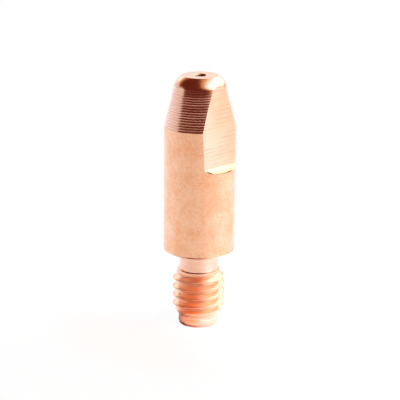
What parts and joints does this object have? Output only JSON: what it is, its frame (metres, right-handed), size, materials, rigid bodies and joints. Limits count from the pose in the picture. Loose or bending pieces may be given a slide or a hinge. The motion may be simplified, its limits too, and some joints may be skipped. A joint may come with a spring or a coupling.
{
  "type": "welding contact tip",
  "caption": "Copper contact tip for a wire-feed welding torch: tapered nose, wrench flats, relief neck, threaded shank and a through bore for the wire.",
  "frame": {"origin": "centre of the shank's end face, on which the tip stands", "axes": "+Z along the wire bore towards the nose, +X square to a wrench flat"},
  "size_m": [0.008, 0.008, 0.0289],
  "materials": {
    "copper": "bare copper: satin drawn body, ring-turned nose, milled flats and a cut thread"
  },
  "bodies": {
    "root": {"contact_tip": "copper"}
  },
  "joints": []
}
